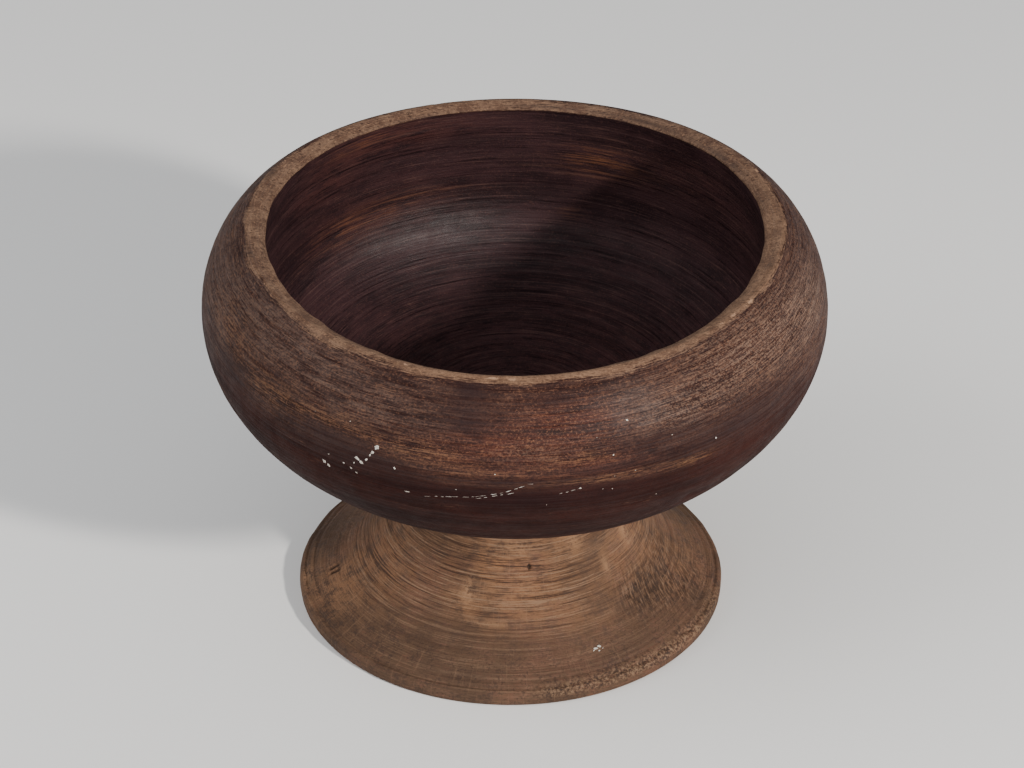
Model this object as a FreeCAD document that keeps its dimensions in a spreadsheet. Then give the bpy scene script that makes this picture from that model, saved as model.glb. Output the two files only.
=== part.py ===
"""Turned wooden pedestal bowl: a face-turned bowl on a separately turned flared foot.

Units are millimetres, +Z is up, and the origin is the centre of the ring that the foot rests on.
The two turned pieces meet at a flat seat and are held by a loose wedged dowel on their axis.
The grain of the bowl and of the foot runs along X, and the grain of the dowel runs along Z.
"""
import FreeCAD, Part
import math
import os
import Sketcher

DIMENSIONS = {
    # bowl, outside
    "belly_radius": 142.0,
    "belly_height": 159.0,
    "lower_depth": 81.5,
    "shoulder_radius": 49.0,
    "lip_outer_radius": 120.0,
    "lip_inner_radius": 113.0,
    "lip_outer_round": 2.5,
    "lip_inner_round": 1.0,
    # bowl, inside
    "inner_belly_radius": 116.0,
    "inner_belly_height": 145.0,
    "inner_wall_radius": 452.0,
    "floor_height": 100.0,
    # foot
    "seat_height": 82.0,
    "flare_radius": 90.0,
    "flare_centre_radius": 135.0,
    "flare_centre_height": 89.5,
    "flare_end_radius": 97.6,
    "foot_radius": 99.0,
    "edge_top_height": 6.4,
    "edge_low_height": 1.2,
    "rest_radius": 98.0,
    "edge_round": 1.0,
    "hollow_radius": 86.0,
    "hollow_rise": 9.0,
    # turned lines near the edge of the foot
    "edge_line_radius": 96.4,
    "edge_line_width": 1.6,
    "edge_line_depth": 0.8,
    "inner_line_radius": 92.4,
    "inner_line_width": 1.4,
    "inner_line_depth": 0.5,
    # joint
    "dowel_radius": 13.0,
    "dowel_length": 85.5,
    "socket_depth": 12.0,
    "fox_wedge_length": 9.0,
    "foot_wedge_length": 14.0,
    "wedge_thickness": 3.2,
    "kerf_width": 0.8,
    "kerf_run_out": 5.0,
}

UP = FreeCAD.Vector(0, 0, 1)
AXIS = "axis"

# Heights and radii that follow from the driving dimensions.
SHOULDER_CENTRE = "(dims.belly_radius - dims.shoulder_radius)"
WALL_CENTRE = "(dims.inner_belly_radius - dims.inner_wall_radius)"
LIP_OUTER_HEIGHT = (
    "dims.belly_height + sqrt(dims.shoulder_radius^2"
    f" - (dims.lip_outer_radius - {SHOULDER_CENTRE})^2)"
)
LIP_INNER_HEIGHT = (
    "dims.inner_belly_height + sqrt(dims.inner_wall_radius^2"
    f" - (dims.lip_inner_radius - {WALL_CENTRE})^2)"
)
SEAT_RADIUS = (
    "dims.belly_radius"
    " * sqrt(1 - ((dims.belly_height - dims.seat_height) / dims.lower_depth)^2)"
)
NECK_RADIUS = (
    "dims.flare_centre_radius - sqrt(dims.flare_radius^2"
    " - (dims.flare_centre_height - dims.seat_height)^2)"
)
HOLLOW_ROUND = "((dims.hollow_radius^2 + dims.hollow_rise^2) / (2 * dims.hollow_rise))"
DOWEL_LOW = "(dims.seat_height + dims.socket_depth - dims.dowel_length)"
DOWEL_TOP = "(dims.seat_height + dims.socket_depth)"


def flare_height(radius):
    """Expression for the height of the foot's flare at a radius."""
    return (
        "(dims.flare_centre_height - sqrt(dims.flare_radius^2"
        f" - (dims.flare_centre_radius - {radius})^2))"
    )


def value(doc, expression):
    """Number that an expression on the sheet comes to."""
    result = doc.dims.evalExpression(expression.replace("dims.", ""))
    return float(getattr(result, "Value", result))


def make_sheet(doc):
    """Spreadsheet of driving dimensions, one alias per cell."""
    sheet = doc.addObject("Spreadsheet::Sheet", "dims")
    for row, (alias, number) in enumerate(DIMENSIONS.items(), start=1):
        sheet.set(f"A{row}", alias)
        sheet.set(f"B{row}", str(number))
        sheet.setAlias(f"B{row}", alias)
    doc.recompute()


def new_body(doc, label):
    body = doc.addObject("PartDesign::Body", label)
    body.Label = label
    body.Placement = FreeCAD.Placement()
    return body


def new_sketch(body, name, plane, height=None):
    """Sketch on one of the body's own origin planes, lifted to a height expression if given."""
    sketch = body.newObject("Sketcher::SketchObject", name)
    origin = next(f for f in body.Origin.OriginFeatures if f.Role == plane)
    sketch.AttachmentSupport = [(origin, "")]
    sketch.MapMode = "FlatFace"
    if height:
        sketch.setExpression("AttachmentOffset.Base.z", height)
    return sketch


def bind(sketch, constraint, expression):
    """Add a dimension to a sketch and drive it from the sheet."""
    index = sketch.addConstraint(constraint)
    sketch.setExpression(f"Constraints[{index}]", expression)


def pin(sketch, geometry, position, point):
    """Hold a point at a pair of expressions, or on the axis."""
    doc = sketch.Document
    across, up = point
    if across == AXIS:
        sketch.addConstraint(Sketcher.Constraint("PointOnObject", geometry, position, -2))
    else:
        distance = value(doc, across)
        bind(sketch, Sketcher.Constraint("DistanceX", -1, 1, geometry, position, distance), across)
    if up == AXIS:
        sketch.addConstraint(Sketcher.Constraint("PointOnObject", geometry, position, -1))
    else:
        distance = value(doc, up)
        bind(sketch, Sketcher.Constraint("DistanceY", -1, 1, geometry, position, distance), up)


def place(doc, point):
    """Vector of a pair of expressions."""
    return FreeCAD.Vector(*(0.0 if part == AXIS else value(doc, part) for part in point), 0)


def draw_outline(sketch, outline):
    """Closed outline, as (point, edge) pairs: the edge goes from its point to the next one.

    An edge is None for a line, ("arc", centre, radius, turn) for a circle's arc and
    ("ellipse", centre, turn) for a quarter of an ellipse with level and upright axes,
    where turn is +1 anticlockwise and -1 clockwise.
    """
    doc = sketch.Document
    points = [place(doc, point) for point, _ in outline]
    ends = []
    for number, (_, edge) in enumerate(outline):
        start = points[number]
        stop = points[(number + 1) % len(points)]
        if edge is None:
            ends.append((sketch.addGeometry(Part.LineSegment(start, stop), False), 1, 2))
            continue
        centre = place(doc, edge[1])
        turn = edge[-1]
        first, last = (start, stop) if turn > 0 else (stop, start)
        if edge[0] == "arc":
            circle = Part.Circle(centre, UP, value(doc, edge[2]))
            curve = Part.ArcOfCircle(circle, circle.parameter(first), circle.parameter(last))
        else:
            half_width = max(abs(first.x - centre.x), abs(last.x - centre.x))
            slope_point = first if abs(first.x - centre.x) < abs(last.x - centre.x) else last
            share = (slope_point.x - centre.x) / half_width
            half_height = abs(slope_point.y - centre.y) / math.sqrt(1 - share**2)
            ellipse = Part.Ellipse(centre, half_width, half_height)
            curve = Part.ArcOfEllipse(ellipse, ellipse.parameter(first), ellipse.parameter(last))
        geometry = sketch.addGeometry(curve, False)
        ends.append((geometry, 1, 2) if turn > 0 else (geometry, 2, 1))
    for number, (point, edge) in enumerate(outline):
        geometry, start_end, _ = ends[number]
        before, _, before_end = ends[number - 1]
        sketch.addConstraint(
            Sketcher.Constraint("Coincident", before, before_end, geometry, start_end)
        )
        pin(sketch, geometry, start_end, point)
        if edge is None:
            continue
        if edge[0] == "arc":
            radius = value(doc, edge[2])
            bind(sketch, Sketcher.Constraint("Radius", geometry, radius), edge[2])
        else:
            pin(sketch, geometry, 3, edge[1])
            sketch.exposeInternalGeometry(geometry)
            major_axis = geometry_after(sketch, ends)
            sketch.addConstraint(Sketcher.Constraint("Horizontal", major_axis))


def geometry_after(sketch, ends):
    """Newest exposed major axis: the first construction line of the last exposed ellipse."""
    lines = [
        index
        for index in range(len(ends), sketch.GeometryCount)
        if isinstance(sketch.Geometry[index], Part.LineSegment)
    ]
    return lines[-2]


def draw_circle(sketch, radius):
    """Circle on the axis with its radius driven from the sheet."""
    size = value(sketch.Document, radius)
    circle = sketch.addGeometry(Part.Circle(FreeCAD.Vector(), UP, size), False)
    sketch.addConstraint(Sketcher.Constraint("Coincident", circle, 3, -1, 1))
    bind(sketch, Sketcher.Constraint("Radius", circle, size), radius)


def revolve(body, sketch, kind, name):
    """Full turn of a sketch about the upright axis: a Revolution adds, a Groove cuts."""
    feature = body.newObject(f"PartDesign::{kind}", name)
    feature.Profile = sketch
    feature.ReferenceAxis = (sketch, ["V_Axis"])
    feature.Angle = 360
    body.Document.recompute()
    return feature


def round_edges(body, name, radius, circles):
    """Fillet the circular edges at the given (radius, height) expressions."""
    doc = body.Document
    base = body.Tip
    wanted = [(value(doc, across), value(doc, up)) for across, up in circles]
    edges = [
        f"Edge{index}"
        for index, edge in enumerate(base.Shape.Edges, start=1)
        if any(is_circle_at(edge, across, up) for across, up in wanted)
    ]
    fillet = body.newObject("PartDesign::Fillet", name)
    fillet.Base = (base, edges)
    fillet.setExpression("Radius", radius)
    doc.recompute()
    return fillet


def is_circle_at(edge, radius, height):
    """True for the closed edge whose only vertex lies at a radius and a height."""
    if len(edge.Vertexes) != 1:
        return False
    corner = edge.Vertexes[0].Point
    return abs(math.hypot(corner.x, corner.y) - radius) < 0.01 and abs(corner.z - height) < 0.01


def cut_through(body, name, sketch):
    """Pocket that runs right through the body, both ways from its sketch."""
    doc = body.Document
    doc.recompute()
    before = body.Shape.Volume
    pocket = body.newObject("PartDesign::Pocket", name)
    pocket.Profile = sketch
    pocket.SideType = "Symmetric"
    pocket.Type = "ThroughAll"
    doc.recompute()
    check_smaller(body, before, name)


def check_smaller(body, before, name):
    if not body.Shape.Volume < before:
        raise RuntimeError(f"{name} cut nothing from {body.Label}")


def make_bowl(doc):
    """Bowl: a round shoulder over a quarter ellipse, and a nearly upright wall inside."""
    body = new_body(doc, "bowl")
    profile = new_sketch(body, "bowl_profile", "XZ_Plane")
    belly = (AXIS, "dims.belly_height")
    inner_belly = (AXIS, "dims.inner_belly_height")
    outline = [
        ((AXIS, "dims.seat_height"), None),
        ((SEAT_RADIUS, "dims.seat_height"), ("ellipse", belly, 1)),
        (
            ("dims.belly_radius", "dims.belly_height"),
            ("arc", (SHOULDER_CENTRE, "dims.belly_height"), "dims.shoulder_radius", 1),
        ),
        (("dims.lip_outer_radius", LIP_OUTER_HEIGHT), None),
        (
            ("dims.lip_inner_radius", LIP_INNER_HEIGHT),
            ("arc", (WALL_CENTRE, "dims.inner_belly_height"), "dims.inner_wall_radius", -1),
        ),
        (("dims.inner_belly_radius", "dims.inner_belly_height"), ("ellipse", inner_belly, -1)),
        ((AXIS, "dims.floor_height"), None),
    ]
    draw_outline(profile, outline)
    revolve(body, profile, "Revolution", "bowl_turning")
    round_edges(
        body, "lip_outer_rounding", "dims.lip_outer_round",
        [("dims.lip_outer_radius", LIP_OUTER_HEIGHT)],
    )
    round_edges(
        body, "lip_inner_rounding", "dims.lip_inner_round",
        [("dims.lip_inner_radius", LIP_INNER_HEIGHT)],
    )
    before = body.Shape.Volume
    mouth = new_sketch(body, "socket_mouth", "XY_Plane", "dims.seat_height")
    draw_circle(mouth, "dims.dowel_radius")
    socket = body.newObject("PartDesign::Pocket", "dowel_socket")
    socket.Profile = mouth
    socket.Reversed = True
    socket.setExpression("Length", "dims.socket_depth")
    doc.recompute()
    check_smaller(body, before, "dowel_socket")
    return body


def cut_line(body, name):
    """V-shaped line turned round the flare of the foot."""
    centre = f"dims.{name}_radius"
    half_width = f"dims.{name}_width / 2"
    surface = flare_height(centre)
    cutter = new_sketch(body, f"{name}_profile", "XZ_Plane")
    outline = [
        ((centre, f"{surface} - dims.{name}_depth"), None),
        ((f"{centre} + {half_width}", f"{surface} + {half_width}"), None),
        ((f"{centre} - {half_width}", f"{surface} + {half_width}"), None),
    ]
    draw_outline(cutter, outline)
    before = body.Shape.Volume
    revolve(body, cutter, "Groove", name)
    check_smaller(body, before, name)


def make_foot(doc):
    """Foot: one concave flare from the neck to a banded edge, dished underneath."""
    body = new_body(doc, "foot")
    profile = new_sketch(body, "foot_profile", "XZ_Plane")
    flare_centre = ("dims.flare_centre_radius", "dims.flare_centre_height")
    hollow_centre = (AXIS, f"dims.hollow_rise - {HOLLOW_ROUND}")
    outline = [
        ((AXIS, "dims.hollow_rise"), ("arc", hollow_centre, HOLLOW_ROUND, -1)),
        (("dims.hollow_radius", AXIS), None),
        (("dims.rest_radius", AXIS), None),
        (("dims.foot_radius", "dims.edge_low_height"), None),
        (("dims.foot_radius", "dims.edge_top_height"), None),
        (
            ("dims.flare_end_radius", flare_height("dims.flare_end_radius")),
            ("arc", flare_centre, "dims.flare_radius", -1),
        ),
        ((NECK_RADIUS, "dims.seat_height"), None),
        ((AXIS, "dims.seat_height"), None),
    ]
    draw_outline(profile, outline)
    revolve(body, profile, "Revolution", "foot_turning")
    round_edges(
        body, "edge_rounding", "dims.edge_round",
        [("dims.foot_radius", "dims.edge_low_height"), ("dims.foot_radius", "dims.edge_top_height")],
    )
    cut_line(body, "edge_line")
    cut_line(body, "inner_line")
    mouth = new_sketch(body, "bore_mouth", "XY_Plane", "dims.seat_height")
    draw_circle(mouth, "dims.dowel_radius")
    cut_through(body, "dowel_bore", mouth)
    return body


def wedge_half(step, base, tip):
    """Right-hand corners of a wedge, from its thick end at base to its thin end at tip."""
    return [
        (f"{step} * dims.wedge_thickness / 2", base),
        (f"{step} * dims.kerf_width / 2", tip),
    ]


def cut_kerf(body, name, base, tip, run_out):
    """Saw kerf across the dowel, spread to the wedge that fills its mouth."""
    right = wedge_half(1, base, tip)
    left = wedge_half(-1, base, tip)
    right.append(("dims.kerf_width / 2", run_out))
    left.append(("-dims.kerf_width / 2", run_out))
    corners = right + left[::-1]
    outline = [(corner, None) for corner in corners]
    sketch = new_sketch(body, f"{name}_profile", "XZ_Plane")
    draw_outline(sketch, outline)
    cut_through(body, name, sketch)


def make_dowel(doc):
    """Loose dowel, sawn across at both ends for its wedges."""
    body = new_body(doc, "dowel")
    circle = new_sketch(body, "dowel_round", "XY_Plane", DOWEL_LOW)
    draw_circle(circle, "dims.dowel_radius")
    pad = body.newObject("PartDesign::Pad", "dowel_length_pad")
    pad.Profile = circle
    pad.setExpression("Length", "dims.dowel_length")
    doc.recompute()
    fox_tip = f"{DOWEL_TOP} - dims.fox_wedge_length"
    foot_tip = f"{DOWEL_LOW} + dims.foot_wedge_length"
    cut_kerf(body, "fox_kerf", DOWEL_TOP, fox_tip, f"{fox_tip} - dims.kerf_run_out")
    cut_kerf(body, "foot_kerf", DOWEL_LOW, foot_tip, f"{foot_tip} + dims.kerf_run_out")
    return body


def make_wedge(doc, label, length, base, low, tip):
    """Wedge as wide as the dowel, its ends rounded flush with the dowel's side."""
    body = new_body(doc, label)
    circle = new_sketch(body, f"{label}_round", "XY_Plane", low)
    draw_circle(circle, "dims.dowel_radius")
    pad = body.newObject("PartDesign::Pad", f"{label}_blank")
    pad.Profile = circle
    pad.setExpression("Length", length)
    doc.recompute()
    for side, step in (("right", 1), ("left", -1)):
        outer = f"{step} * dims.dowel_radius"
        corners = wedge_half(step, base, tip) + [(outer, tip), (outer, base)]
        sketch = new_sketch(body, f"{label}_{side}_profile", "XZ_Plane")
        draw_outline(sketch, [(corner, None) for corner in corners])
        cut_through(body, f"{label}_{side}_cheek", sketch)
    return body


def check_document(doc):
    """Stop on any failed object or any sketch that is not fully held by its dimensions."""
    for item in doc.Objects:
        if "Invalid" in item.State or "Error" in item.State:
            raise RuntimeError(f"{item.Name} failed: {item.State}")
        if item.TypeId == "Sketcher::SketchObject" and not item.FullyConstrained:
            raise RuntimeError(f"{item.Name} is not fully constrained")


def export_parts(bodies):
    os.makedirs("parts", exist_ok=True)
    for body in bodies:
        shape = body.Shape
        if shape.isNull() or not shape.isValid() or len(shape.Solids) != 1:
            raise RuntimeError(f"{body.Label} has no valid single solid")
        box = shape.optimalBoundingBox()
        print(f"{body.Label}: {box.XLength:.1f} x {box.YLength:.1f} x {box.ZLength:.1f} mm,"
              f" {shape.Volume / 1000:.1f} cm3")
    for body in bodies:
        body.Shape.exportStep(f"parts/{body.Label}.step")


def main():
    doc = FreeCAD.newDocument("pedestal_bowl")
    make_sheet(doc)
    fox_low = f"{DOWEL_TOP} - dims.fox_wedge_length"
    foot_top = f"{DOWEL_LOW} + dims.foot_wedge_length"
    bodies = [
        make_bowl(doc),
        make_foot(doc),
        make_dowel(doc),
        make_wedge(doc, "fox_wedge", "dims.fox_wedge_length", DOWEL_TOP, fox_low, fox_low),
        make_wedge(doc, "foot_wedge", "dims.foot_wedge_length", DOWEL_LOW, DOWEL_LOW, foot_top),
    ]
    doc.recompute()
    check_document(doc)
    export_parts(bodies)


main()
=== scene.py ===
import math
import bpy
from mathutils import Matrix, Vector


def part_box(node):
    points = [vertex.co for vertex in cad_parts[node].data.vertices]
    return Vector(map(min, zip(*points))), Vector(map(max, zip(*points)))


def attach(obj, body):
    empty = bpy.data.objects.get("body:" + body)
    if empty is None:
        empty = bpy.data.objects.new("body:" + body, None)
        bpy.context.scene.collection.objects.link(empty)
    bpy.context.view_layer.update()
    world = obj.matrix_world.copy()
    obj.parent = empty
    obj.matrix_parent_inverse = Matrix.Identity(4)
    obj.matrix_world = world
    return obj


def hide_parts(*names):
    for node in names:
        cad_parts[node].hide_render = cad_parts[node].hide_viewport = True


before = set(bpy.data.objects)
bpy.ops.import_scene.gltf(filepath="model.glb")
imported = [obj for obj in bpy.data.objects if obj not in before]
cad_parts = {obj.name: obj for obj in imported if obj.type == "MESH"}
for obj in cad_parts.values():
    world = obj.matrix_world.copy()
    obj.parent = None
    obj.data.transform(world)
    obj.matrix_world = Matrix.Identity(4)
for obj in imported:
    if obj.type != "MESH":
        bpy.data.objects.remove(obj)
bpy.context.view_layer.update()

# Looks of a turned pedestal bowl: a dark stained bowl on a bare wooden foot, both worn.
# Everything is in metres, in the CAD frame: +Z up, grain along X, the camera's side is -Y.
from types import SimpleNamespace

import bpy
import numpy as np
from mathutils import Vector
from mathutils.bvhtree import BVHTree

MM = 0.001
TAU = 2 * math.pi

# ---------------------------------------------------------------- sizes

BOWL_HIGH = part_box("bowl")[1]
FOOT_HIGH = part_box("foot")[1]
DOWEL_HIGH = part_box("dowel")[1]
BELLY_RADIUS = BOWL_HIGH.x
SEAT_HEIGHT = FOOT_HIGH.z
SOCKET_TOP = DOWEL_HIGH.z
DOWEL_RADIUS = DOWEL_HIGH.y
FOOT_RADIUS = FOOT_HIGH.x

BELLY_HEIGHT = 159.0 * MM
LOWER_DEPTH = 81.5 * MM
SHOULDER_RADIUS = 49.0 * MM
LIP_OUTER_RADIUS = 120.0 * MM
LIP_INNER_RADIUS = 113.0 * MM
INNER_BELLY_RADIUS = 116.0 * MM
INNER_BELLY_HEIGHT = 145.0 * MM
INNER_WALL_RADIUS = 452.0 * MM
FLOOR_HEIGHT = 100.0 * MM

FLARE_RADIUS = 90.0 * MM
FLARE_CENTRE_RADIUS = 135.0 * MM
FLARE_CENTRE_HEIGHT = 89.5 * MM
FLARE_END_RADIUS = 97.6 * MM
EDGE_TOP_HEIGHT = 6.4 * MM
EDGE_LOW_HEIGHT = 1.2 * MM
REST_RADIUS = 98.0 * MM
HOLLOW_RADIUS = 86.0 * MM
HOLLOW_RISE = 9.0 * MM

ARC_POINTS = 200
OUTLINE_STEP = 0.1 * MM

# ---------------------------------------------------------------- noise on a turned surface


def smooth(t):
    """Smoothstep from 0 to 1."""
    t = np.clip(t, 0.0, 1.0)
    return t * t * (3 - 2 * t)


def ramp(x, low, high):
    """0 below low and 1 above high, or the other way round where low is above high."""
    return smooth((x - low) / (high - low))


def cell_noise(seed, u, v, columns, rows):
    """Smooth noise in -1..1, one cell per unit, repeating after its columns and rows."""
    grid = np.random.default_rng(seed).uniform(-1, 1, (columns, rows))
    i = np.floor(u).astype(int)
    j = np.floor(v).astype(int)
    fu = smooth(u - i)
    fv = smooth(v - j)
    i0, i1 = i % columns, (i + 1) % columns
    j0, j1 = j % rows, (j + 1) % rows
    low = grid[i0, j0] * (1 - fu) + grid[i1, j0] * fu
    high = grid[i0, j1] * (1 - fu) + grid[i1, j1] * fu
    return low * (1 - fv) + high * fv


def ring_noise(seed, theta, along, around, pitch):
    """Smooth noise in -1..1: `around` cells in a full turn, and cells `pitch` metres long."""
    rows = int(np.ptp(along) / pitch) + 3
    turn = theta / TAU % 1.0
    return cell_noise(seed, turn * around, (along - along.min()) / pitch, around, rows)


def plane_noise(seed, u, v):
    """Smooth noise in -1..1 on a plane, one cell per unit."""
    return cell_noise(seed, u, v, 64, 64)


def angle_gap(theta, degrees):
    """Signed angle from a direction, in radians, in -pi..pi."""
    return (theta - math.radians(degrees) + math.pi) % TAU - math.pi


# ---------------------------------------------------------------- outlines


def arc(centre, radii, start, end):
    """Points of an elliptical arc between two angles in degrees, in the (radius, height) plane."""
    t = np.radians(np.linspace(start, end, ARC_POINTS))
    return [(centre[0] + radii[0] * math.cos(a), centre[1] + radii[1] * math.sin(a)) for a in t]


def arc_angle(centre, radii, point):
    """Angle in degrees at which an elliptical arc passes a point."""
    across, up = ((point[k] - centre[k]) / radii[k] for k in (0, 1))
    return math.degrees(math.atan2(up, across))


def dense(points):
    """Even points along a polyline, and their distances along it."""
    points = np.array(points)
    steps = np.hypot(*np.diff(points, axis=0).T)
    points = points[np.concatenate([[True], steps > 1e-9])]
    s = np.concatenate([[0], np.cumsum(np.hypot(*np.diff(points, axis=0).T))])
    even = np.arange(0, s[-1], OUTLINE_STEP)
    return np.stack([np.interp(even, s, points[:, k]) for k in (0, 1)], 1), even


def soften(points, corner, width, reach):
    """Round an outline near a corner: a Gaussian of that width, fading out at that reach."""
    half = int(4 * width / OUTLINE_STEP)
    kernel = np.exp(-0.5 * (np.arange(-half, half + 1) * OUTLINE_STEP / width) ** 2)
    kernel /= kernel.sum()
    padded = np.pad(points, ((half, half), (0, 0)), mode="edge")
    blurred = np.stack([np.convolve(padded[:, k], kernel, mode="valid") for k in (0, 1)], 1)
    away = np.hypot(points[:, 0] - corner[0], points[:, 1] - corner[1])
    share = ramp(away, reach, reach * 0.5)[:, None]
    return points * (1 - share) + blurred * share


def outline_normals(points):
    """Unit normals of an outline that runs with its solid on the left."""
    tangent = np.gradient(points, axis=0)
    tangent /= np.hypot(*tangent.T)[:, None]
    return np.stack([tangent[:, 1], -tangent[:, 0]], 1)


# ---------------------------------------------------------------- turned meshes


class Turning:
    """A closed surface of revolution whose rings are places along an outline."""

    def __init__(self, points, along, places, closed=False):
        """places: (distance along the outline, segments round the ring) pairs.

        A closed outline goes round a bore; an open one starts and ends on the axis.
        """
        normals = outline_normals(points)
        self.closed = closed
        self.counts = [count for _, count in places]
        s = np.array([place for place, _ in places])
        ring = [np.interp(s, along, column) for column in (*points.T, *normals.T)]
        repeat = np.repeat(np.arange(len(s)), self.counts)
        self.theta = np.concatenate([np.arange(n) * TAU / n for n in self.counts])
        self.s = s[repeat]
        self.radius, self.height, self.out_r, self.out_z = (column[repeat] for column in ring)

    def faces(self):
        """Quads between equal rings, triangles where the count doubles or halves, fans at open ends."""
        starts = np.concatenate([[0], np.cumsum(self.counts)])
        faces = []
        rings = len(self.counts)
        for ring in range(rings if self.closed else rings - 1):
            following = (ring + 1) % rings
            a, b = starts[ring], starts[following]
            n, m = self.counts[ring], self.counts[following]
            if n == m:
                faces += [(a + i, a + (i + 1) % n, b + (i + 1) % n, b + i) for i in range(n)]
            elif m == 2 * n:
                for i in range(n):
                    j = (i + 1) % n
                    faces.append((a + i, b + 2 * i + 1, b + 2 * i))
                    faces.append((a + i, a + j, b + 2 * i + 1))
                    faces.append((a + j, b + (2 * i + 2) % m, b + 2 * i + 1))
            else:
                for i in range(m):
                    j = (i + 1) % m
                    faces.append((a + 2 * i, a + 2 * i + 1, b + i))
                    faces.append((a + 2 * i + 1, b + j, b + i))
                    faces.append((a + 2 * i + 1, a + (2 * i + 2) % n, b + j))
        if self.closed:
            return faces
        first = self.counts[0]
        last = self.counts[-1]
        total = starts[-1]
        faces += [(total, (i + 1) % first, i) for i in range(first)]
        end = starts[-2]
        faces += [(total + 1, end + i, end + (i + 1) % last) for i in range(last)]
        return faces

    def build(self, name, displacement, warp, axis_heights=()):
        """Mesh with every point moved along its normal, then bent by the warp."""
        radius = self.radius + self.out_r * displacement
        height = self.height + self.out_z * displacement
        x = radius * np.cos(self.theta)
        y = radius * np.sin(self.theta)
        co = np.stack([x, y, height], 1)
        if not self.closed:
            co = np.vstack([co, [(0, 0, z) for z in axis_heights]])
        co = warp(co)
        mesh = bpy.data.meshes.new(name)
        mesh.from_pydata(co.tolist(), [], self.faces())
        mesh.shade_smooth()
        mesh.validate()
        piece = bpy.data.objects.new(name, mesh)
        bpy.context.scene.collection.objects.link(piece)
        return piece


def paint(piece, name, values):
    """Store a number per vertex for the materials; points on the axis take the end values."""
    if len(piece.data.vertices) > len(values):
        values = np.concatenate([values, [values[0], values[-1]]])
    attribute = piece.data.attributes.new(name, "FLOAT", "POINT")
    attribute.data.foreach_set("value", values.astype(np.float32))


def ring_places(runs):
    """Ring places from (start, end, spacing, segments) runs along an outline."""
    rings = []
    for start, end, spacing, count in runs:
        number = max(1, round((end - start) / spacing))
        rings += [(start + (end - start) * k / number, count) for k in range(number)]
    rings.append((runs[-1][1], runs[-1][3]))
    return rings


def patches(theta, place, spots):
    """Sum of soft patches: (angle in degrees, place in mm, half angle, half size in mm, strength)."""
    total = np.zeros_like(theta)
    for degrees, middle, half_angle, half_size, strength in spots:
        across = angle_gap(theta, degrees) / math.radians(half_angle)
        up = (place / MM - middle) / half_size
        total += strength * np.exp(-(across**2) - up**2)
    return total


def distance_at(points, along, place):
    """Distance along an outline of the point nearest to a place."""
    return along[np.argmin(np.hypot(points[:, 0] - place[0], points[:, 1] - place[1]))]


# ---------------------------------------------------------------- bowl

BELLY = (0.0, BELLY_HEIGHT)
OUTER_RADII = (BELLY_RADIUS, LOWER_DEPTH)
SHOULDER_CENTRE = (BELLY_RADIUS - SHOULDER_RADIUS, BELLY_HEIGHT)
INNER_BELLY = (0.0, INNER_BELLY_HEIGHT)
WALL_CENTRE = (INNER_BELLY_RADIUS - INNER_WALL_RADIUS, INNER_BELLY_HEIGHT)
SEAT_RADIUS = BELLY_RADIUS * math.sqrt(1 - ((BELLY_HEIGHT - SEAT_HEIGHT) / LOWER_DEPTH) ** 2)
LIP_OUTER = (
    LIP_OUTER_RADIUS,
    BELLY_HEIGHT + math.sqrt(SHOULDER_RADIUS**2 - (LIP_OUTER_RADIUS - SHOULDER_CENTRE[0]) ** 2),
)
LIP_INNER = (
    LIP_INNER_RADIUS,
    INNER_BELLY_HEIGHT + math.sqrt(INNER_WALL_RADIUS**2 - (LIP_INNER_RADIUS - WALL_CENTRE[0]) ** 2),
)
SADDLE = 2.2 * MM
MOUTH_OVAL = -1.85 * MM
BOWL_OVAL = -0.008

# How widely the outline is rounded at a place, and how far from it that reaches.
LIP_OUTER_EASE = (1.6 * MM, 9 * MM)
LIP_INNER_EASE = (0.55 * MM, 4 * MM)
WALL_TURN = (INNER_BELLY_RADIUS, 135 * MM)
WALL_EASE = (8 * MM, 45 * MM)
BOWL_SEGMENTS = 256
LIP_SEGMENTS = 512

# The tables of patches below hold an angle, a place, a half angle, a half size and a strength.
BELLY_DENTS = [(304, 130, 2.5, 3.0, 1.0)]

# Nicks and dark marks of the lip, placed from its outer edge: minus is down the outside.
LIP_CHIPS = [
    (248.8, 0.5, 1.3, 1.4, 0.9), (262.0, -1.0, 0.7, 1.0, 0.5), (265.8, -0.5, 1.1, 1.4, 0.8),
    (269.5, -1.0, 0.9, 1.5, 0.7), (273.5, 0.5, 1.6, 1.2, 0.5), (320.0, 0.0, 1.5, 1.6, 0.9),
    (326.0, -0.5, 1.0, 1.3, 0.7), (207.0, -1.0, 1.5, 1.4, 0.5), (22.0, 0.0, 1.6, 1.5, 0.6),
]
LIP_STAINS = [
    (62, -1.0, 13, 2.6, 0.9), (46, -2.0, 5, 2.0, 0.8), (159.7, 1.0, 2.5, 1.6, 0.9),
    (193.7, 1.0, 3.5, 2.0, 0.8), (341.5, 3.0, 2.5, 2.0, 0.8), (248.8, 0.6, 1.2, 1.1, 1.0),
    (80, -2.5, 6, 1.5, 0.7), (176, -2.0, 4, 1.5, 0.5), (120, -3.0, 8, 1.6, 0.4),
    (58, 5.5, 15, 1.8, 0.9), (30, 5.8, 9, 1.6, 0.8), (84, 5.8, 9, 1.2, 0.6), (10, 5.5, 6, 1.6, 0.6),
]

# Painted light: where the lip is painted paler, at the front and on the right.
LIP_LIGHT = [(270, 0, 28, 5, 0.7), (335, 3, 26, 6, 0.40), (5, 3, 16, 5, 0.3)]

# Where the finish is rubbed to a sheen, on the shoulder and on the wall inside.
SHOULDER_SHEEN = [(291, 186, 9, 8, 1.0)]
INNER_SHEEN = [(112, 133, 26, 17, 1.0)]

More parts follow.
